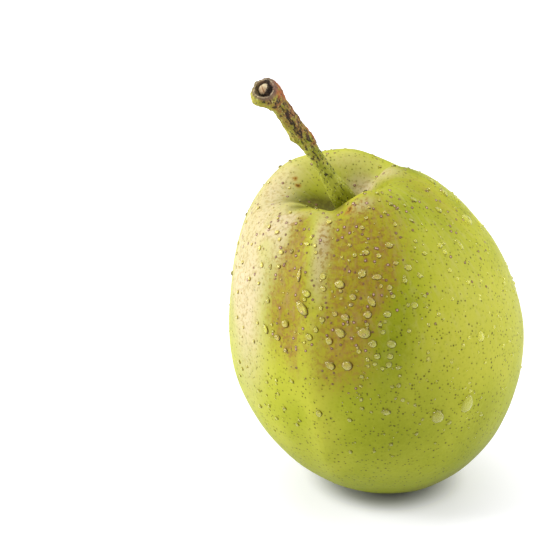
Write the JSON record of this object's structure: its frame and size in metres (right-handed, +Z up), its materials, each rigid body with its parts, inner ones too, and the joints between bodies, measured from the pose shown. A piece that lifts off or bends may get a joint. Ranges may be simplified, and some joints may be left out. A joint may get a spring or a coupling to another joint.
{
  "type": "pear",
  "caption": "Round green pear with a thick woody stem, a deep lobed stem cavity and a dried calyx, resting on a small flat at its base.",
  "frame": {"origin": "middle of the small flat that the fruit rests on", "axes": "+Z up from the surface it rests on, -Y towards the side with the narrow rib, the stem leans to -X"},
  "size_m": [0.0622, 0.062, 0.0939],
  "materials": {
    "pear_skin": "thin waxy yellow-green skin, soft sheen, fine dark dots and a brownish blush",
    "stem_bark": "rough green-brown bark with a pale cut pith at the scar",
    "dried_calyx": "dry, papery, dark brown"
  },
  "bodies": {
    "root": {"fruit": "pear_skin", "stem": "stem_bark", "calyx": "dried_calyx"}
  },
  "joints": []
}
